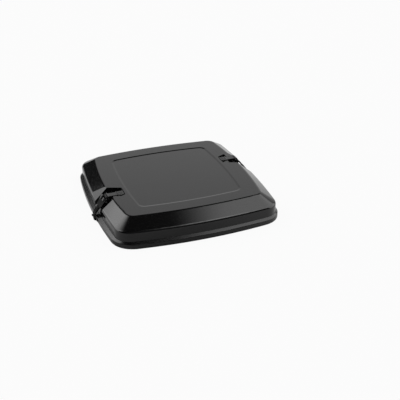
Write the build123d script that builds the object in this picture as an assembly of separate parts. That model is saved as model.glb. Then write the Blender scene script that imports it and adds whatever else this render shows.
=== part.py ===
"""Low-profile battery box: a shallow base tray, a lift-off lid with two draw latches, and the
hold-down, seal, cable and mounting hardware inside it. Millimetres, +Z up, origin at the centre
of the underside. The two latches are the same parts, half a turn apart about Z."""
from build123d import *
from collections import namedtuple
from math import hypot, sqrt
import os

# Outlines: four bowed sides with rounded corners, largest at the tray rim
top_half_x = 212.0
top_half_y = 223.8
top_bulge_x = 18.8
top_bulge_y = 13.5
top_corner_r = 25.0
chamfer_width = 41.6
band_bulge_x = 15.0
band_bulge_y = 21.6
band_corner_r = 52.0
ledge_width = 7.9
rim_bulge_x = 18.4
rim_bulge_y = 23.5
rim_corner_r = 74.0
panel_border = 45.8
panel_bulge_x = 9.6
panel_bulge_y = 10.3
panel_corner_r = 24.0

# Heights
rim_height = 21.0
rim_edge_z = 15.0
band_top_z = 51.6
lid_top_z = 79.6
panel_depth = 1.2
panel_slope = 6.0

# Lid shell
lid_wall = 3.0
top_edge_r = 12.0
band_edge_r = 10.0
lid_clearance = 0.4
seal_gap = 0.3

# Tray
floor_t = 3.5
tray_wall = 3.0
rim_edge_r = 2.0
rim_foot_r = 2.0
seat_z = 14.6
seat_floor_t = 3.2
upstand_top_z = 23.0
upstand_t = 3.0
web_t = 2.5
web_pitch = 66.0
gasket_h = 3.2
gasket_side_gap = 0.3

# Battery support and hold-down
pad_length = 160.0
pad_width = 26.0
pad_t = 4.0
pad_x = 120.0
pad_y = 95.0
pad_grooves = 2
pad_groove_r = 0.9
pad_groove_pitch = 4.5
stud_edge_x = 50.0
stud_y = 150.0
stud_r = 3.0
stud_top_z = 72.5
stud_depth = 5.5
stud_boss_r = 9.0
stud_boss_top_z = 12.0
spacer_r = 6.0
spacer_top_z = 62.0
bar_width = 26.0
bar_t = 3.0
bar_end = 14.0
nut_af = 10.0
nut_h = 5.5
nut_flange_r = 7.0
nut_flange_h = 1.3
thread_clearance = 0.25
pin_fit = 0.02

# Mounting points
mount_x = 225.0
mount_y = 200.0
mount_bore_r = 4.3
sleeve_wall = 2.4
sleeve_length = 9.0
mount_boss_r = 12.0
drain_r = 4.0
drain_x = 235.0
drain_y = 60.0

# Cable entries and vent, in the rear wall
entry_x = 38.0
entry_width = 30.0
entry_top_z = 43.0
entry_gap = 0.3
cable_r = 6.0
cable_z = 29.5
flange_extra = 3.5
flange_t = 2.5
flange_gap = 1.0
flange_lift = 0.5
grommet_depth = 13.0
vent_x = 125.0
vent_z = 37.0
vent_stem_r = 6.0
vent_cap_r = 10.0
vent_cap_t = 4.0
vent_cap_gap = 0.4
vent_stem_inside = 3.0
vent_slot_r = 1.2
vent_slots = 6

# Latch scoop in the lid, given for the right-hand latch: a slot that widens outward, with a level
# floor that ramps down to the side wall, a wide flare on its front side and a sharp one on its rear
latch_y = 63.0
slot_reach = 28.0
slot_depth = 17.6
slot_shelf = 62.0
slot_ramp = ((12.0, 18.0), (6.0, 11.0), (10.0, 18.0))
slot_corner_r = 5.0
slot_wide_in = 31.0
slot_wide_out = 47.0
slot_wide_run = 42.0
slot_sharp_in = 17.0
slot_sharp_out = 29.0
slot_sharp_run = 22.0
wide_top_y = 56.0
wide_bottom_y = 85.0
wide_low_y = 18.0
wide_low_drop = 44.6
sharp_top_y = 36.0
sharp_bottom_y = 43.0
sharp_low_y = 34.0
sharp_low_drop = 47.6
flare_low_out = 34.0

# Latch
base_t = 3.0
base_start = 9.0
base_half_w = 21.5
base_corner_r = 4.0
pivot_in = 54.0
pivot_up = 11.5
pin_r = 2.0
pin_running = 0.06
hub_r = 6.0
hub_half_w = 10.0
hub_nose = 7.5
hub_nose_low = 1.0
hub_nose_high = 1.8
hub_brow = 4.6
ear_gap = 0.4
ear_t = 3.0
ear_r = 5.5
ear_foot = 8.0
ear_toe = 2.0
strap_pin_back = 12.0
strap_pin_drop = 3.5
lug_r = 4.5
blade_t = 3.0
blade_over_pivot = 1.5
grip_start = 2.5
grip_length = 24.0
grip_half_w = 13.0
grip_lip = 1.4
grip_corner_r = 1.5
grip_rib_r = 0.9
grip_ribs = 4
pin_head_r = 3.0
pin_head_t = 1.0
saddle_h = 1.0
saddle_length = 5.0
base_screw_s = 19.0
base_screw_w = 17.0
screw_head_r = 4.0
screw_head_h = 2.4
screw_shank_r = 1.8
screw_length = 8.0
screw_clearance = 0.2
screw_boss_r = 5.0
boss_end_t = 1.5
drive_r = 1.6
drive_depth = 1.4

# Rubber strap and its keeper on the tray rim
strap_t = 4.0
arm_gap = 0.5
arm_w = 6.0
window_end = 29.0
strap_nose_out = 64.0
strap_nose_down = 11.2
strap_knee_z = 22.0
strap_bend_r = 9.0
neck_half_w = 10.0
neck_top_z = 46.0
neck_shoulder_r = 5.0
bead_r = 3.2
bead_half_w = 14.0
bead_z = 7.2
strap_rib_r = 1.3
strap_rib_pitch = 4.6
strap_ribs = 5
keeper_proud = 0.5
keeper_t = 2.0
keeper_half_w = 26.0
keeper_low_z = 2.6
keeper_high_z = 14.4
keeper_corner_r = 3.0
keeper_side_gap = 0.2
keeper_gap = 0.5
prong_w = 4.5
prong_t = 2.4
lip_t = 1.6
lip_h = 2.8
keeper_screw_w = 20.6
keeper_screw_length = 10.0
keeper_block = 34.0

Outline = namedtuple("Outline", "half_x half_y bulge_x bulge_y corner")


def side_radius(span, bulge):
    """Radius of a side that rises by bulge over a half length of span."""
    return (span ** 2 + bulge ** 2) / (2 * bulge)


def side_at(half, bulge, span, along):
    """How far out a bowed side stands at a distance along it from its middle."""
    radius = side_radius(span, bulge)
    return half + bulge - radius + sqrt(radius ** 2 - along ** 2)


def side_x(shape, y):
    return side_at(shape.half_x, shape.bulge_x, shape.half_y, y)


def side_y(shape, x):
    return side_at(shape.half_y, shape.bulge_y, shape.half_x, x)


band_half_x = top_half_x + chamfer_width
band_half_y = top_half_y + chamfer_width
top_shape = Outline(top_half_x, top_half_y, top_bulge_x, top_bulge_y, top_corner_r)
band_shape = Outline(band_half_x, band_half_y, band_bulge_x, band_bulge_y, band_corner_r)
rim_shape = Outline(
    band_half_x + ledge_width, band_half_y + ledge_width, rim_bulge_x, rim_bulge_y, rim_corner_r)
panel_shape = Outline(
    top_half_x - panel_border, top_half_y - panel_border, panel_bulge_x, panel_bulge_y, panel_corner_r)

# Places that several parts share
slot_inner_x = top_half_x - slot_reach
stud_x = band_half_x - stud_edge_x
slot_floor_z = lid_top_z - slot_depth
base_top_z = slot_floor_z + base_t
pivot_x = slot_inner_x + pivot_in
pivot_z = slot_floor_z + pivot_up
strap_pin_x = pivot_x - strap_pin_back
strap_pin_z = pivot_z - strap_pin_drop
ear_in = hub_half_w + ear_gap
ear_out = ear_in + ear_t
arm_in = ear_out + arm_gap
arm_out = arm_in + arm_w
upstand_in = lid_wall + lid_clearance
gasket_top_z = seat_z + gasket_h
lid_bottom_z = gasket_top_z + seal_gap
bar_top_z = spacer_top_z + bar_t
sleeve_r = mount_bore_r + sleeve_wall
base_screw_x = slot_inner_x + base_screw_s
base_screw_low_z = base_top_z - screw_length
keeper_face_x = side_x(rim_shape, latch_y) + keeper_proud
keeper_back_x = keeper_face_x - keeper_t
keeper_mid_z = (keeper_low_z + keeper_high_z) / 2
strap_low_x = keeper_face_x + keeper_gap + bead_r


def outline(shape, inset=0.0):
    """The face inside an outline, drawn in by inset all round."""
    rx = side_radius(shape.half_y, shape.bulge_x)
    ry = side_radius(shape.half_x, shape.bulge_y)
    cx = shape.half_x + shape.bulge_x - rx
    cy = shape.half_y + shape.bulge_y - ry
    sides = [Pos(cx, 0) * Circle(rx - inset), Pos(-cx, 0) * Circle(rx - inset)]
    sides += [Pos(0, cy) * Circle(ry - inset), Pos(0, -cy) * Circle(ry - inset)]
    face = sides[0] & sides[1] & sides[2] & sides[3]
    return fillet(face.vertices(), shape.corner - inset)


def slab(shape, low, high, inset=0.0):
    return Pos(0, 0, low) * extrude(outline(shape, inset), high - low)


def taper(lower, low_z, low_inset, upper, high_z, high_inset):
    faces = [Pos(0, 0, low_z) * outline(lower, low_inset), Pos(0, 0, high_z) * outline(upper, high_inset)]
    return loft(faces, ruled=True)


def block(x0, x1, y0, y1, z0, z1):
    return Pos((x0 + x1) / 2, (y0 + y1) / 2, (z0 + z1) / 2) * Box(x1 - x0, y1 - y0, z1 - z0)


def along_y(radius, x, z, y0, y1):
    """A round bar along Y."""
    return Pos(x, (y0 + y1) / 2, z) * Rot(90, 0, 0) * Cylinder(radius, y1 - y0)


def along_x(radius, y, z, x0, x1):
    """A round bar along X."""
    return Pos((x0 + x1) / 2, y, z) * Rot(0, 90, 0) * Cylinder(radius, x1 - x0)


def upright(radius, x, y, z0, z1):
    return Pos(x, y, (z0 + z1) / 2) * Cylinder(radius, z1 - z0)


def prism(face, y0, y1):
    """A face in the XZ plane made solid from y0 to y1."""
    return Pos(0, y0, 0) * extrude(face, y1 - y0, dir=(0, 1, 0))


def side_view(*points):
    """The polygon through points given as X and Z."""
    return make_face(Polyline([(x, 0, z) for x, z in points], close=True))


def mirrored(part):
    """The part and its copy half a turn about Z away."""
    return part + Rot(0, 0, 180) * part


def corners(x, y):
    """The four places at plus and minus x and y."""
    return [(sx * x, sy * y) for sx in (-1, 1) for sy in (-1, 1)]


def beyond_plane(p, q, r, grow, y0, y1):
    """The space above the plane through three points, between two values of Y."""
    along = Vector(*q) - Vector(*p)
    normal = along.cross(Vector(*r) - Vector(*p))
    if normal.Z < 0:
        normal = -normal
    reach = 3 * lid_top_z
    space = Plane(origin=p, x_dir=along, z_dir=normal) * Pos(0, 0, reach / 2 - grow) * Box(1500, 1500, reach)
    return space & block(slot_inner_x / 2, side_x(rim_shape, 0) + reach, y0, y1, 0, reach)


def flare(direction, top_y, bottom_y, low_y, low_drop, grow):
    """One flare of the scoop, on the side of the slot that direction (1 or -1 along Y) names.
    It starts inside the slot, at the slot's least half width, and runs out past the band's top."""
    at_top = latch_y + direction * top_y
    at_bottom = latch_y + direction * bottom_y
    low_x = side_x(top_shape, latch_y) + flare_low_out
    points = [(side_x(top_shape, at_top), at_top, lid_top_z)]
    points += [(side_x(band_shape, at_bottom), at_bottom, band_top_z)]
    points += [(low_x, latch_y + direction * low_y, lid_top_z - low_drop)]
    near = latch_y + direction * slot_sharp_in
    far = latch_y + direction * (bottom_y + 2 * chamfer_width)
    return beyond_plane(*points, grow, min(near, far), max(near, far))


def slot_plan(grow):
    """The slot seen from above, widened all round by grow, with its two inner corners rounded."""
    end_x = 2 * rim_shape.half_x
    points = [(slot_inner_x, slot_sharp_in), (slot_inner_x + slot_sharp_run, slot_sharp_out)]
    points += [(end_x, slot_sharp_out), (end_x, -slot_wide_out)]
    points += [(slot_inner_x + slot_wide_run, -slot_wide_out), (slot_inner_x, -slot_wide_in)]
    face = make_face(Polyline(points, close=True))
    if grow:
        face = offset(face, grow, kind=Kind.INTERSECTION)
    inner = face.vertices().group_by(Axis.X)[0]
    return Pos(0, latch_y) * fillet(inner, slot_corner_r + grow)


def scoop(grow=0.0):
    """The latch scoop on the right, as the space to cut away; grow widens it by a wall."""
    sky = lid_top_z + chamfer_width
    x, z = slot_inner_x + slot_shelf, slot_floor_z
    side = [(slot_inner_x, sky), (slot_inner_x, z), (x, z)]
    for out, down in slot_ramp:
        x, z = x + out, z - down
        side += [(x, z)]
    side += [(x + chamfer_width, z), (x + chamfer_width, sky)]
    face = side_view(*side)
    if grow:
        face = offset(face, grow, kind=Kind.INTERSECTION)
    plan = extrude(slot_plan(grow), sky)
    plan += flare(-1, wide_top_y, wide_bottom_y, wide_low_y, wide_low_drop, grow)
    plan += flare(1, sharp_top_y, sharp_bottom_y, sharp_low_y, sharp_low_drop, grow)
    return plan & prism(face, latch_y - band_half_y, latch_y + band_half_y)


def lid_skin():
    """The lid's outside as a solid, with its edges rounded, down to the seal."""
    body = slab(band_shape, lid_bottom_z, band_top_z)
    body += taper(band_shape, band_top_z, 0, top_shape, lid_top_z, 0)
    body = fillet(edges_at(body, lid_top_z), top_edge_r)
    return fillet(edges_at(body, band_top_z), band_edge_r)


def edges_at(part, z):
    """The edges that lie level at a height."""
    level = [(e, e.bounding_box()) for e in part.edges()]
    return [e for e, box in level if abs(box.min.Z - z) < 0.01 and abs(box.max.Z - z) < 0.01]


def lid_core():
    """The space inside the lid, one wall in from every outside face."""
    rise = lid_top_z - band_top_z
    slope = hypot(rise, chamfer_width)
    low = band_top_z - lid_wall * (slope - rise) / chamfer_width
    high = lid_top_z - lid_wall
    high_in = lid_wall * (slope - chamfer_width) / rise
    core = slab(band_shape, 0, low, lid_wall)
    return core + taper(band_shape, low, lid_wall, top_shape, high, high_in)


def panel_sink(drop=0.0):
    """The shallow sunk panel on top, with sloped sides, moved down by drop."""
    sink = taper(panel_shape, lid_top_z - panel_depth, panel_slope, panel_shape, lid_top_z, 0)
    return Pos(0, 0, -drop) * (sink + slab(panel_shape, lid_top_z, lid_top_z + lid_wall + drop))


def entry_shape(widen, low, high_extra):
    """The arch of a cable entry in the XZ plane, widened all round and cut off at low."""
    half = entry_width / 2 + widen
    top = entry_top_z + high_extra
    arch = side_view((-half, low), (half, low), (half, top), (-half, top))
    corners = [v for v in arch.vertices() if v.Z > low + 1]
    return fillet(corners, half - 1)


def entries(widen, low, high_extra, y0, y1):
    arch = prism(entry_shape(widen, low, high_extra), y0, y1)
    return [Pos(sx * entry_x, 0, 0) * arch for sx in (-1, 1)]


def vent_frame():
    """The place of the vent: on the rear wall, with Z pointing out of it."""
    out = side_y(band_shape, vent_x)
    step = 1.0
    slope = (side_y(band_shape, vent_x + step) - side_y(band_shape, vent_x - step)) / (2 * step)
    return Plane(origin=(vent_x, out, vent_z), x_dir=(1, slope, 0), z_dir=(-slope, 1, 0))


def lid():
    rear = side_y(band_shape, entry_x)
    hollow = lid_core() - panel_sink(lid_wall) - mirrored(scoop(lid_wall))
    shell = lid_skin() - panel_sink() - mirrored(scoop()) - hollow
    for gap in entries(entry_gap, 0, entry_gap, rear - 3 * lid_wall, rear + 3 * lid_wall):
        shell -= gap
    shell -= vent_frame() * Cylinder(vent_stem_r + pin_fit, 6 * lid_wall)
    for w in (-base_screw_w, base_screw_w):
        spot = (base_screw_x, latch_y + w)
        boss_low_z = base_screw_low_z - boss_end_t
        shell += mirrored(upright(screw_boss_r, *spot, boss_low_z, slot_floor_z - lid_wall))
        shell -= mirrored(upright(screw_shank_r + pin_fit, *spot, base_screw_low_z, lid_top_z))
    return shell


def ring(outer, outer_inset, inner, inner_inset, low, high):
    return slab(outer, low, high, outer_inset) - slab(inner, low, high, inner_inset)


def rim_webs():
    """Thin upright webs across the hollow under the rim, every web_pitch along each side."""
    tall = seat_z
    count_x = int(band_half_x // web_pitch)
    count_y = int(band_half_y // web_pitch)
    webs = []
    for i in range(-count_x, count_x + 1):
        webs += [Pos(i * web_pitch, 0, tall / 2) * Box(web_t, 4 * band_half_y, tall)]
    for i in range(-count_y, count_y + 1):
        webs += [Pos(0, i * web_pitch, tall / 2) * Box(4 * band_half_x, web_t, tall)]
    return webs


def keeper_pocket():
    """Room for a keeper plate in the outer face of the rim."""
    half = keeper_half_w + keeper_side_gap
    room = block(
        keeper_back_x, keeper_back_x + 4 * keeper_t, latch_y - half, latch_y + half,
        keeper_low_z - keeper_side_gap, keeper_high_z + keeper_side_gap)
    return fillet(room.edges().filter_by(Axis.X), keeper_corner_r + keeper_side_gap)


def base_tray():
    """The tray: a flat floor, a rim with a sloped shoulder, and the seal's seat and upstand in it."""
    inner = upstand_in + upstand_t
    tray = slab(rim_shape, 0, rim_edge_z)
    tray += taper(rim_shape, rim_edge_z, 0, band_shape, rim_height, -lid_clearance)
    tray = fillet(edges_at(tray, rim_edge_z), rim_edge_r)
    tray = fillet(edges_at(tray, 0), rim_foot_r)
    tray += slab(band_shape, seat_z, upstand_top_z, upstand_in)
    tray -= ring(band_shape, -lid_clearance, band_shape, upstand_in, seat_z, lid_top_z)
    tray -= slab(band_shape, floor_t, lid_top_z, inner)
    hollow = ring(rim_shape, tray_wall, band_shape, upstand_in, 0, seat_z - seat_floor_t)
    for web in rim_webs():
        hollow -= web
    solid_part = block(
        0, 2 * band_half_x, latch_y - keeper_block, latch_y + keeper_block, 0, seat_z)
    tray -= hollow - mirrored(solid_part)
    tray -= mirrored(keeper_pocket())
    for w in (-keeper_screw_w, keeper_screw_w):
        end = keeper_face_x - keeper_screw_length
        tray -= mirrored(along_x(screw_shank_r + pin_fit, latch_y + w, keeper_mid_z, end, 2 * end))
    rear = side_y(band_shape, entry_x)
    for gap in entries(entry_gap, seat_z, 0, rear - 2 * grommet_depth, rear + flange_gap + entry_gap):
        tray -= gap
    for x, y in corners(stud_x, stud_y):
        tray += upright(stud_boss_r, x, y, floor_t, stud_boss_top_z)
        tray -= upright(stud_r + pin_fit, x, y, stud_boss_top_z - stud_depth, stud_boss_top_z)
    for x, y in corners(mount_x, mount_y):
        tray += upright(mount_boss_r, x, y, floor_t, sleeve_length)
        tray -= upright(sleeve_r + pin_fit, x, y, 0, sleeve_length)
    for x, y in corners(drain_x, drain_y):
        tray -= upright(drain_r, x, y, 0, floor_t)
    return tray


def rim_gasket():
    """The seal in the seat of the rim, stopped short of the two cable entries."""
    side = gasket_side_gap
    seal = ring(band_shape, side - lid_clearance, band_shape, upstand_in - side, seat_z, gasket_top_z)
    rear = side_y(band_shape, entry_x)
    for gap in entries(2 * entry_gap, seat_z, 0, rear - grommet_depth, rear + grommet_depth):
        seal -= gap
    return seal


def grommet(sx):
    """A rubber block that fills one cable entry, with a flange outside the lid's wall."""
    wall_y = side_y(band_shape, entry_x)
    out = wall_y + flange_gap
    body = prism(entry_shape(0, seat_z, 0), out - grommet_depth, out)
    edge = prism(entry_shape(flange_extra, rim_height + flange_lift, flange_extra), out, out + flange_t)
    bore = along_y(cable_r, 0, cable_z, out - 2 * grommet_depth, out + 2 * flange_t)
    return Pos(sx * entry_x, 0, 0) * (body + edge - bore)


def vent_plug():
    """A breather cap on a stem through the rear wall, slotted round its rim."""
    cap = Pos(0, 0, vent_cap_t / 2 + vent_cap_gap) * Cylinder(vent_cap_r, vent_cap_t)
    cap = fillet(cap.edges().group_by(Axis.Z)[-1], vent_cap_t / 4)
    length = lid_wall + vent_stem_inside + vent_cap_gap
    plug = cap + Pos(0, 0, vent_cap_gap - length / 2) * Cylinder(vent_stem_r, length)
    for i in range(vent_slots):
        slot = Pos(vent_cap_r, 0, vent_cap_gap) * Rot(0, 90, 0) * Cylinder(vent_slot_r, vent_cap_r / 2)
        plug -= Rot(0, 0, i * 360 / vent_slots) * slot
    return vent_frame() * plug


def battery_pads():
    pad = Pos(0, 0, floor_t + pad_t / 2) * Box(pad_width, pad_length, pad_t)
    pad = fillet(pad.edges().filter_by(Axis.Z), pad_t)
    for i in range(-pad_grooves, pad_grooves + 1):
        x = i * pad_groove_pitch
        pad -= along_y(pad_groove_r, x, floor_t + pad_t, -pad_length / 2, pad_length / 2)
    return [Pos(x, y, 0) * pad for x, y in corners(pad_x, pad_y)]


def hold_down_studs():
    low = stud_boss_top_z - stud_depth
    studs = []
    for x, y in corners(stud_x, stud_y):
        stud = upright(stud_r, x, y, low, stud_top_z)
        studs += [chamfer(stud.edges().group_by(Axis.Z)[-1], stud_r / 4)]
    return studs


def spacer_tubes():
    bore = stud_r + thread_clearance
    return [
        upright(spacer_r, x, y, stud_boss_top_z, spacer_top_z) - upright(bore, x, y, 0, lid_top_z)
        for x, y in corners(stud_x, stud_y)]


def hold_down_bar(sy):
    """A flat bar across the battery, with a round end and a hole at each stud."""
    face = SlotOverall(2 * (stud_x + bar_end), bar_width)
    bar = Pos(0, sy * stud_y, spacer_top_z) * extrude(face, bar_t)
    for sx in (-1, 1):
        bar -= upright(stud_r + thread_clearance, sx * stud_x, sy * stud_y, spacer_top_z, bar_top_z)
    return bar


def flange_nuts():
    """Hexagon nuts, each with a round flange, on top of the bars."""
    nuts = []
    for x, y in corners(stud_x, stud_y):
        hexagon = extrude(RegularPolygon(nut_af / 2, 6, major_radius=False), nut_h)
        nut = hexagon + Pos(0, 0, nut_flange_h / 2) * Cylinder(nut_flange_r, nut_flange_h)
        nut -= Cylinder(stud_r + pin_fit, 4 * nut_h)
        nuts += [Pos(x, y, bar_top_z) * nut]
    return nuts


def mounting_sleeves():
    return [
        upright(sleeve_r, x, y, 0, sleeve_length) - upright(mount_bore_r, x, y, 0, sleeve_length)
        for x, y in corners(mount_x, mount_y)]


def latch_base():
    """The plate of a latch: screwed to the slot floor, with two sloped ears and two strap saddles."""
    length = slot_shelf - base_start
    plate = Pos(slot_inner_x + base_start + length / 2, latch_y, slot_floor_z + base_t / 2)
    plate = plate * Box(length, 2 * base_half_w, base_t)
    base = fillet(plate.edges().filter_by(Axis.Z), base_corner_r)
    shelf_end = slot_inner_x + slot_shelf
    cheek = side_view(
        (pivot_x - ear_foot, base_top_z), (shelf_end, base_top_z), (shelf_end, base_top_z + ear_toe),
        (pivot_x, pivot_z + ear_r), (pivot_x - ear_r, pivot_z))
    for side in (-1, 1):
        low, high = sorted((latch_y + side * ear_in, latch_y + side * ear_out))
        base += prism(cheek, low, high) + along_y(ear_r, pivot_x, pivot_z, low, high)
        low, high = sorted((latch_y + side * arm_in, latch_y + side * arm_out))
        saddle = block(shelf_end - saddle_length, shelf_end, low, high, base_top_z, base_top_z + saddle_h)
        base += fillet(saddle.edges().group_by(Axis.Z)[-1].filter_by(Axis.Y), saddle_h / 2)
        spot = (base_screw_x, latch_y + side * base_screw_w)
        base -= upright(screw_shank_r + screw_clearance, *spot, 0, lid_top_z)
    return base - along_y(pin_r + pin_fit, pivot_x, pivot_z, latch_y - ear_out, latch_y + ear_out)


def latch_lever():
    """The lever: a hub with a blunt nose on the pivot, a lug on the strap pin, a neck and a ridged grip."""
    under = pivot_z + blade_over_pivot
    over = under + blade_t
    tip = slot_inner_x + grip_start
    grip_end = tip + grip_length
    neck = side_view((grip_end - blade_t, under), (pivot_x, under), (pivot_x, over), (grip_end - blade_t, over))
    web = side_view(
        (strap_pin_x, strap_pin_z - lug_r), (pivot_x, pivot_z - hub_r),
        (pivot_x + hub_nose, pivot_z - hub_nose_low), (pivot_x + hub_nose, pivot_z + hub_nose_high),
        (pivot_x + hub_brow, over), (pivot_x, over), (strap_pin_x - lug_r, under),
        (strap_pin_x - lug_r, strap_pin_z))
    sides = (latch_y - hub_half_w, latch_y + hub_half_w)
    lever = prism(neck, *sides) + prism(web, *sides)
    lever += along_y(hub_r, pivot_x, pivot_z, *sides) + along_y(lug_r, strap_pin_x, strap_pin_z, *sides)
    high = over + grip_lip
    hollow_start, hollow_end = tip + 3 * grip_lip, grip_end - 3 * grip_lip
    profile = side_view(
        (tip, under), (grip_end, under), (grip_end, over), (grip_end - grip_lip, high),
        (grip_end - 2 * grip_lip, high), (hollow_end, over), (hollow_start, over),
        (tip + 2 * grip_lip, high), (tip, high))
    grip = prism(profile, latch_y - grip_half_w, latch_y + grip_half_w)
    lever += fillet(grip.edges().filter_by(Axis.Z), grip_corner_r)
    pitch = (hollow_end - hollow_start) / grip_ribs
    for i in range(grip_ribs):
        x = hollow_start + (i + 0.5) * pitch
        lever += along_y(grip_rib_r, x, over, latch_y - grip_half_w + blade_t, latch_y + grip_half_w - blade_t)
    lever -= along_y(pin_r + pin_running, pivot_x, pivot_z, *sides)
    return lever - along_y(pin_r + pin_fit, strap_pin_x, strap_pin_z, *sides)


def pivot_pin():
    return along_y(pin_r, pivot_x, pivot_z, latch_y - ear_out, latch_y + ear_out)


def strap_pin():
    """The pin that the strap's two arms hang on, with a small head at each end."""
    end = arm_out + arm_gap
    pin = along_y(pin_r, strap_pin_x, strap_pin_z, latch_y - end - pin_head_t, latch_y + end + pin_head_t)
    for side in (-1, 1):
        low, high = sorted((latch_y + side * end, latch_y + side * (end + pin_head_t)))
        pin += along_y(pin_head_r, strap_pin_x, strap_pin_z, low, high)
    return pin


def strap_line():
    """The middle line of the strap from its pin, over the saddles and down to the keeper."""
    nose = (slot_inner_x + strap_nose_out, 0, lid_top_z - strap_nose_down)
    knee = (strap_low_x, 0, strap_knee_z)
    points = [(strap_pin_x, 0, strap_pin_z), nose, knee, (strap_low_x, 0, bead_z)]
    return FilletPolyline(*points, radius=strap_bend_r)


def latch_strap():
    """The rubber strap: two arms from its pin that join into a ribbed band and end in a bead."""
    line = strap_line()
    section = Plane(origin=line @ 0, z_dir=line % 0, x_dir=(0, 1, 0)) * Rectangle(2 * arm_out, strap_t)
    strap = Pos(0, latch_y, 0) * sweep(section, line)
    tall = lid_top_z
    strap -= block(0, strap_pin_x + window_end, latch_y - arm_in, latch_y + arm_in, 0, 2 * tall)
    for side in (-1, 1):
        low, high = sorted((latch_y + side * neck_half_w, latch_y + side * 2 * arm_out))
        beside = block(0, 2 * strap_low_x, low, high, -tall, neck_top_z)
        strap -= fillet(beside.edges().filter_by(Axis.X), neck_shoulder_r)
        low, high = sorted((latch_y + side * arm_in, latch_y + side * arm_out))
        strap += along_y(lug_r, strap_pin_x, strap_pin_z, low, high)
    ramp = line.edges()[2]
    for i in range(strap_ribs):
        place = 1 - (i + 1) * strap_rib_pitch / ramp.length
        outward = (ramp % place).cross(Vector(0, 1, 0))
        if outward.Z < 0:
            outward = -outward
        at = (ramp @ place) + outward * (strap_t / 2)
        half = neck_half_w - strap_rib_r
        strap += along_y(strap_rib_r, at.X, at.Z, latch_y - half, latch_y + half)
    strap += along_y(bead_r, strap_low_x, bead_z, latch_y - bead_half_w, latch_y + bead_half_w)
    return strap - along_y(pin_r + pin_running, strap_pin_x, strap_pin_z, latch_y - arm_out, latch_y + arm_out)


def latch_keeper():
    """The keeper plate in the rim, with two hooked prongs over the ends of the strap's bead."""
    sides = (latch_y - keeper_half_w, latch_y + keeper_half_w)
    plate = block(keeper_back_x, keeper_face_x, *sides, keeper_low_z, keeper_high_z)
    keeper = fillet(plate.edges().filter_by(Axis.X), keeper_corner_r)
    low = bead_z + bead_r + keeper_gap
    lip_x = strap_low_x + bead_r + keeper_gap
    for side in (-1, 1):
        near = neck_half_w + keeper_gap
        y0, y1 = sorted((latch_y + side * near, latch_y + side * (near + prong_w)))
        prong = block(keeper_face_x - keeper_t / 2, lip_x + lip_t, y0, y1, low, low + prong_t)
        prong += block(lip_x, lip_x + lip_t, y0, y1, low - lip_h, low)
        keeper += prong
        keeper -= along_x(
            screw_shank_r + screw_clearance, latch_y + side * keeper_screw_w, keeper_mid_z, 0, 2 * strap_low_x)
    return keeper


def screw(length):
    """A round-head screw along Z, its head above Z = 0, with a hexagonal drive."""
    head = Pos(0, 0, screw_head_h / 2) * Cylinder(screw_head_r, screw_head_h)
    head = fillet(head.edges().group_by(Axis.Z)[-1], screw_head_h / 2)
    body = head + Pos(0, 0, -length / 2) * Cylinder(screw_shank_r, length)
    drive = extrude(RegularPolygon(drive_r, 6), drive_depth)
    return body - Pos(0, 0, screw_head_h - drive_depth) * drive


def base_screws():
    return [
        Pos(base_screw_x, latch_y + w, base_top_z) * screw(screw_length)
        for w in (-base_screw_w, base_screw_w)]


def keeper_screws():
    return [
        Pos(keeper_face_x, latch_y + w, keeper_mid_z) * Rot(0, 90, 0) * screw(keeper_screw_length)
        for w in (-keeper_screw_w, keeper_screw_w)]


def turned(solids):
    return [Rot(0, 0, 180) * solid for solid in solids]


def save(name, solids):
    shape = solids[0] if len(solids) == 1 else Compound(children=solids)
    export_step(shape, os.path.join("parts", name + ".step"))


def main():
    os.makedirs("parts", exist_ok=True)
    nodes = {
        "base_tray": [base_tray()],
        "lid": [lid()],
        "rim_gasket": rim_gasket().solids(),
        "battery_pads": battery_pads(),
        "hold_down_bar_front": [hold_down_bar(-1)],
        "hold_down_bar_rear": [hold_down_bar(1)],
        "hold_down_studs": hold_down_studs(),
        "spacer_tubes": spacer_tubes(),
        "flange_nuts": flange_nuts(),
        "mounting_sleeves": mounting_sleeves(),
        "cable_grommet_left": [grommet(-1)],
        "cable_grommet_right": [grommet(1)],
        "vent_plug": [vent_plug()],
    }
    latch = {
        "latch_base": [latch_base()],
        "latch_lever": [latch_lever()],
        "latch_pivot_pin": [pivot_pin()],
        "latch_strap_pin": [strap_pin()],
        "latch_strap": [latch_strap()],
        "latch_keeper": [latch_keeper()],
    }
    for name, solids in latch.items():
        nodes[name + "_right"] = solids
        nodes[name + "_left"] = turned(solids)
    nodes["latch_base_screws"] = base_screws() + turned(base_screws())
    nodes["latch_keeper_screws"] = keeper_screws() + turned(keeper_screws())
    for name, solids in nodes.items():
        save(name, solids)


if __name__ == "__main__":
    main()
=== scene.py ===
from collections import namedtuple
from math import cos, radians, sin

import bpy
from mathutils import Matrix, Vector

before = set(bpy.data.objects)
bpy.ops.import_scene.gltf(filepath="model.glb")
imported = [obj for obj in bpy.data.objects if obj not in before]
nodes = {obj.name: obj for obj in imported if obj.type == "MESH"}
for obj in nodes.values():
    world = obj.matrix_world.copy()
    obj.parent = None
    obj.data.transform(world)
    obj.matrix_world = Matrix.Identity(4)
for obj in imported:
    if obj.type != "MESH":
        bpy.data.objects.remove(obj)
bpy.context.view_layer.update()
scene = bpy.context.scene

# Camera, in the row frame: where it stands, the way it looks in degrees, and its lens in mm
CAMERA_AT = (-0.6614, -2.0977, 1.1391)
CAMERA_AZIMUTH = -19.70
CAMERA_ELEVATION = 27.70
CAMERA_ROLL = -0.385
LENS = 67.37
CAMERA_REACH = 50

WHITE = (1, 1, 1, 1)

# Colours that more than one piece has
SHELL_BLACK = (0.0025, 0.0025, 0.0026)
LATCH_BLACK = (0.003, 0.003, 0.003)

# Each noise is a scale and a detail, and a spread is a factor at its low and at its high end

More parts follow.
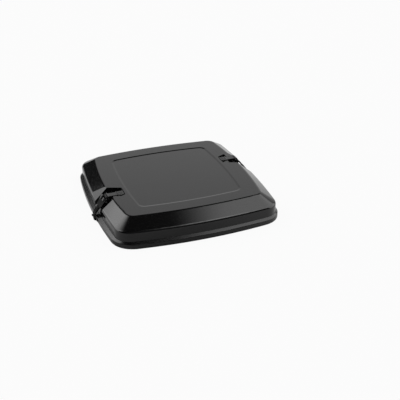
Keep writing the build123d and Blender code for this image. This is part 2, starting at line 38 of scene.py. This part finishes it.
# Moulded plastic: flow marks, the noise that shows as specks of dust, rubbed edges and orange peel
FLOW_NOISE = (9.0, 3.0)
FLOW_LIGHTER = 1.35
PLASTIC_ROUGH_SPREAD = (0.88, 1.16)
DUST_NOISE = (900.0, 2.0)
DUST_STOPS = ((0.66, 0.0), (0.74, 1.0))
DUST_ROUGHNESS = 0.6
EDGE_RADIUS = 0.0012
EDGE_SAMPLES = 4
EDGE_STOPS = ((0.90, 1.0), (0.995, 0.0))
EDGE_LIGHTER = 2
EDGE_ADDED = 0.002
PEEL_NOISE = (160.0, 1.0)
PEEL_DEPTH = 0.0005
GRAIN_SCALE = 1400.0
GRAIN_DEPTH = 0.0003
PLASTIC_IOR = 1.5

# Rubber: clouds and a fine grit
RUBBER_NOISE = (60.0, 4.0)
RUBBER_LIGHTER = 1.8
RUBBER_ROUGH_STEP = 0.08
GRIT_NOISE = (1500.0, 2.0)
GRIT_STRENGTH = 0.25
GRIT_DEPTH = 0.0002

# Metal: slight clouds
METAL_NOISE = (220.0, 3.0)
METAL_DARKER = 0.8
METAL_ROUGH_SPREAD = (0.8, 1.3)

# Floor: half its width, how far below the origin it lies, its own look, and how white it appears.
# Around the shade spot, painted shade darkens the floor in reflections only, fading out between two
# distances from that place
FLOOR_HALF = 40.0
FLOOR_DROP = 0.0002
FLOOR_GREY = 0.5
FLOOR_ROUGHNESS = 0.9
FLOOR_WHITE_STRAIGHT = 0.94
FLOOR_WHITE_MIRRORED = 0.6
PAINTED_SHADE_SPOT = (-0.15, -0.45, 0)
PAINTED_SHADE_NEAR = 0.15
PAINTED_SHADE_FAR = 0.55

# Studio: the soft boxes' angles are in degrees, and azimuth runs from +Y towards +X
SoftBox = namedtuple("SoftBox", "azimuth elevation half_width side_edge half_height end_edge strength")
SOFT_BOXES = (
    SoftBox(97, 30, 29, 5, 43, 5, 2.2),
    SoftBox(-53, 37, 27, 4, 18, 12, 2.9),
    SoftBox(-54, 7, 24, 4, 13, 4, 2.0),
    SoftBox(28, 10, 30, 4, 27, 4, 0.73),
    SoftBox(144, 57, 11, 4, 9, 4, 1.8),
    SoftBox(185, 30, 35, 8, 14, 6, 0.1),
)
DIM = 0.03

# Where a direction counts as low over the horizon, and as pointing to the rear
LOW_FROM = 0.1
LOW_TO = 0.03
REAR_FROM = -0.2
REAR_TO = 0.2


def add_camera():
    az, el, roll = radians(CAMERA_AZIMUTH), radians(CAMERA_ELEVATION), radians(CAMERA_ROLL)
    back = Vector((sin(az) * cos(el), -cos(az) * cos(el), sin(el)))
    right = Vector((cos(az), sin(az), 0))
    up = back.cross(right)
    turned_right = cos(roll) * right + sin(roll) * up
    turned_up = cos(roll) * up - sin(roll) * right
    camera = bpy.data.objects.new("camera", bpy.data.cameras.new("camera"))
    camera.data.lens = LENS
    camera.data.clip_end = CAMERA_REACH
    camera.matrix_world = Matrix((turned_right, turned_up, back)).transposed().to_4x4()
    camera.matrix_world.translation = CAMERA_AT
    scene.collection.objects.link(camera)
    scene.camera = camera


class Nodes:
    """A small helper for building a material's node tree."""

    def __init__(self, name):
        self.material = bpy.data.materials.new(name)
        self.material.use_nodes = True
        self.tree = self.material.node_tree
        self.shader = self.tree.nodes["Principled BSDF"]

    def add(self, kind, inputs=None, **settings):
        node = self.tree.nodes.new("ShaderNode" + kind)
        for key, value in settings.items():
            setattr(node, key, value)
        for key, value in (inputs or {}).items():
            if isinstance(value, bpy.types.NodeSocket):
                self.tree.links.new(value, node.inputs[key])
            else:
                node.inputs[key].default_value = value
        return node

    def math(self, operation, *values):
        return self.add("Math", dict(enumerate(values)), operation=operation).outputs[0]

    def measure(self, operation, first, second):
        """One number from two vectors, such as their distance."""
        node = self.add("VectorMath", {0: first, 1: second}, operation=operation)
        return node.outputs["Value"]

    def noise(self, place, scale, detail):
        node = self.add("TexNoise", {"Vector": place, "Scale": scale, "Detail": detail})
        return node.outputs["Fac"]

    def mix(self, share, first, second):
        return self.add("MixRGB", {"Fac": share, "Color1": first, "Color2": second}).outputs[0]

    def map(self, value, limits, **settings):
        """A value moved from one range to another; limits name the ends that aren't 0 and 1."""
        return self.add("MapRange", {"Value": value, **limits}, **settings).outputs["Result"]

    def spread(self, value, low, high):
        """A value from 0 to 1, moved to between low and high."""
        return self.map(value, {"To Min": low, "To Max": high})

    def link(self, socket, name):
        self.tree.links.new(socket, self.shader.inputs[name])

    def set(self, **values):
        for key, value in values.items():
            self.shader.inputs[key.replace("_", " ")].default_value = value


class World(Nodes):
    """The same helper for the world's node tree."""

    def __init__(self, name):
        world = bpy.data.worlds.new(name)
        world.use_nodes = True
        scene.world = world
        self.tree = world.node_tree
        self.shader = self.tree.nodes["Background"]


def scaled(colour, factor, added=0.0):
    """A colour for a node input, from three shares times a factor."""
    return (*(c * factor + added for c in colour), 1)


def ramp(n, value, stops):
    """A ramp of grey stops: (position, grey)."""
    node = n.add("ValToRGB", {"Fac": value})
    for element, (position, grey) in zip(node.color_ramp.elements, stops):
        element.position = position
        element.color = (grey, grey, grey, 1)
    return node.outputs["Color"]


def moulded(name, colour, rough, peel=0.02, grain=0.0):
    """Black moulded plastic: faint flow marks, orange peel, fine dust and rubbed edges."""
    n = Nodes(name)
    place = n.add("TexCoord").outputs["Object"]
    flow = n.noise(place, *FLOW_NOISE)
    specks = ramp(n, n.noise(place, *DUST_NOISE), DUST_STOPS)
    smooth = n.add("Bevel", {"Radius": EDGE_RADIUS}, samples=EDGE_SAMPLES).outputs["Normal"]
    flat = n.add("NewGeometry").outputs["Normal"]
    edge = ramp(n, n.measure("DOT_PRODUCT", smooth, flat), EDGE_STOPS)
    tone = n.mix(flow, scaled(colour, 1), scaled(colour, FLOW_LIGHTER))
    n.link(n.mix(edge, tone, scaled(colour, EDGE_LIGHTER, EDGE_ADDED)), "Base Color")
    shade = n.spread(flow, *(rough * factor for factor in PLASTIC_ROUGH_SPREAD))
    n.link(n.mix(specks, shade, scaled((1, 1, 1), DUST_ROUGHNESS)), "Roughness")
    peel_noise = n.noise(place, *PEEL_NOISE)
    bump = n.add("Bump", {"Height": peel_noise, "Strength": peel, "Distance": PEEL_DEPTH})
    if grain:
        fine = n.add("TexVoronoi", {"Vector": place, "Scale": GRAIN_SCALE}).outputs["Distance"]
        bump = n.add("Bump", {"Height": fine, "Strength": grain, "Distance": GRAIN_DEPTH,
                              "Normal": bump.outputs["Normal"]})
    n.link(bump.outputs["Normal"], "Normal")
    n.set(IOR=PLASTIC_IOR)
    return n.material


def rubber(name, colour, rough=0.62, shine=0.5):
    """Black rubber: cloudy, with a fine grit."""
    n = Nodes(name)
    place = n.add("TexCoord").outputs["Object"]
    cloud = n.noise(place, *RUBBER_NOISE)
    n.link(n.mix(cloud, scaled(colour, 1), scaled(colour, RUBBER_LIGHTER)), "Base Color")
    shade = n.spread(cloud, rough - RUBBER_ROUGH_STEP, rough + RUBBER_ROUGH_STEP)
    n.link(shade, "Roughness")
    grit = n.noise(place, *GRIT_NOISE)
    bump = n.add("Bump", {"Height": grit, "Strength": GRIT_STRENGTH, "Distance": GRIT_DEPTH})
    n.link(bump.outputs["Normal"], "Normal")
    n.set(Specular_IOR_Level=shine)
    return n.material


def metal(name, colour, rough):
    """Plated or ground steel: slightly cloudy."""
    n = Nodes(name)
    place = n.add("TexCoord").outputs["Object"]
    cloud = n.noise(place, *METAL_NOISE)
    n.link(n.mix(cloud, scaled(colour, 1), scaled(colour, METAL_DARKER)), "Base Color")
    shade = n.spread(cloud, *(rough * factor for factor in METAL_ROUGH_SPREAD))
    n.link(shade, "Roughness")
    n.set(Metallic=1.0)
    return n.material


def dress(material, *names):
    for name in names:
        slots = nodes[name].data.materials
        slots.clear()
        slots.append(material)
        for polygon in nodes[name].data.polygons:
            polygon.material_index = 0


def add_materials():
    dress(moulded("lid_plastic", SHELL_BLACK, 0.10), "lid")
    dress(moulded("tray_plastic", SHELL_BLACK, 0.22), "base_tray")
    dress(moulded("latch_plastic", LATCH_BLACK, 0.07, peel=0.01),
          "latch_base_left", "latch_base_right", "latch_lever_left", "latch_lever_right",
          "latch_keeper_left", "latch_keeper_right")
    dress(moulded("vent_plastic", (0.03, 0.03, 0.03), 0.45, grain=0.3),
          "vent_plug", "spacer_tubes")
    dress(rubber("strap_rubber", LATCH_BLACK, 0.4, shine=0.03),
          "latch_strap_left", "latch_strap_right")
    dress(rubber("grommet_rubber", (0.016, 0.016, 0.016)),
          "cable_grommet_left", "cable_grommet_right")
    dress(rubber("seal_rubber", (0.02, 0.02, 0.02), 0.75), "rim_gasket", "battery_pads")
    dress(metal("pin_steel", (0.5, 0.5, 0.51), 0.28),
          "latch_pivot_pin_left", "latch_pivot_pin_right",
          "latch_strap_pin_left", "latch_strap_pin_right")
    dress(metal("zinc", (0.62, 0.63, 0.65), 0.34),
          "hold_down_studs", "flange_nuts", "mounting_sleeves")
    dress(moulded("bar_paint", (0.02, 0.02, 0.02), 0.4, grain=0.2),
          "hold_down_bar_front", "hold_down_bar_rear")
    dress(moulded("black_oxide", (0.02, 0.02, 0.02), 0.3),
          "latch_base_screws", "latch_keeper_screws")


def background_share(n, straight=1.0, mirrored=1.0):
    """How much of the white background a ray shows: straight or through glass, and mirrored."""
    path = n.add("LightPath").outputs
    through = n.math("MAXIMUM", path["Is Camera Ray"], path["Is Transmission Ray"])
    direct = n.math("MULTIPLY", through, straight)
    glossy = n.math("MULTIPLY", path["Is Glossy Ray"], mirrored)
    return n.math("MAXIMUM", direct, glossy)


def add_floor():
    """A grey floor that looks nearly white to the camera and keeps a soft shadow, with painted shade
    around a spot in its reflections.
    """
    corners = [(x * FLOOR_HALF, y * FLOOR_HALF, 0) for x, y in ((-1, -1), (1, -1), (1, 1), (-1, 1))]
    mesh = bpy.data.meshes.new("floor")
    mesh.from_pydata(corners, [], [(0, 1, 2, 3)])
    floor = bpy.data.objects.new("floor", mesh)
    floor.location.z = -FLOOR_DROP
    scene.collection.objects.link(floor)
    n = Nodes("floor")
    n.set(Base_Color=scaled((1, 1, 1), FLOOR_GREY), Roughness=FLOOR_ROUGHNESS)
    # Painted shade: near the spot, reflections show less of the white glow, standing in for the
    # floor's shadow
    away = n.measure("DISTANCE", n.add("TexCoord").outputs["Object"], PAINTED_SHADE_SPOT)
    mirrored = n.map(away, {"From Min": PAINTED_SHADE_NEAR, "From Max": PAINTED_SHADE_FAR,
                            "To Max": FLOOR_WHITE_MIRRORED})
    white = n.add("Emission", {"Color": WHITE, "Strength": 1.0}).outputs[0]
    share = background_share(n, FLOOR_WHITE_STRAIGHT, mirrored)
    mix = n.add("MixShader", {0: share, 1: n.shader.outputs[0], 2: white})
    n.tree.links.new(mix.outputs[0], n.tree.nodes["Material Output"].inputs["Surface"])
    mesh.materials.append(n.material)


def window(n, value, half, edge):
    """1 where an angle lies within half of the middle, and 0 beyond it, with a soft edge."""
    size = n.math("ABSOLUTE", value)
    ends = {"From Min": radians(half + edge), "From Max": radians(half - edge)}
    return n.map(size, ends, interpolation_type="SMOOTHSTEP")


def soft_box(n, direction, box):
    """The light that a soft box sends from a direction."""
    az, el = radians(box.azimuth), radians(box.elevation)
    front = Vector((sin(az) * cos(el), cos(az) * cos(el), sin(el)))
    side = Vector((cos(az), -sin(az), 0))
    ahead = n.measure("DOT_PRODUCT", direction, front)
    spans = ((side, box.half_width, box.side_edge),
             (side.cross(front), box.half_height, box.end_edge))
    light = box.strength
    for axis, half, edge in spans:
        angle = n.math("ARCTAN2", n.measure("DOT_PRODUCT", direction, axis), ahead)
        light = n.math("MULTIPLY", window(n, angle, half, edge), light)
    return light


def add_world():
    """A dim studio with soft boxes, in front of a white background."""
    n = World("studio")
    direction = n.add("TexCoord").outputs["Generated"]
    light = DIM
    for box in SOFT_BOXES:
        light = n.math("ADD", light, soft_box(n, direction, box))
    way = n.add("SeparateXYZ", {0: direction}).outputs
    low = n.map(way["Z"], {"From Min": LOW_FROM, "From Max": LOW_TO})
    behind = n.map(way["Y"], {"From Min": REAR_FROM, "From Max": REAR_TO, "To Max": low})
    sky = n.math("MAXIMUM", n.add("LightPath").outputs["Is Camera Ray"], behind)
    share = n.math("MULTIPLY", sky, background_share(n))
    strength = n.add("Mix", {"Factor": share, "A": light, "B": 1.0}).outputs["Result"]
    n.link(strength, "Strength")
    n.set(Color=WHITE)


add_camera()
add_materials()
add_floor()
add_world()
scene.view_settings.view_transform = "Standard"
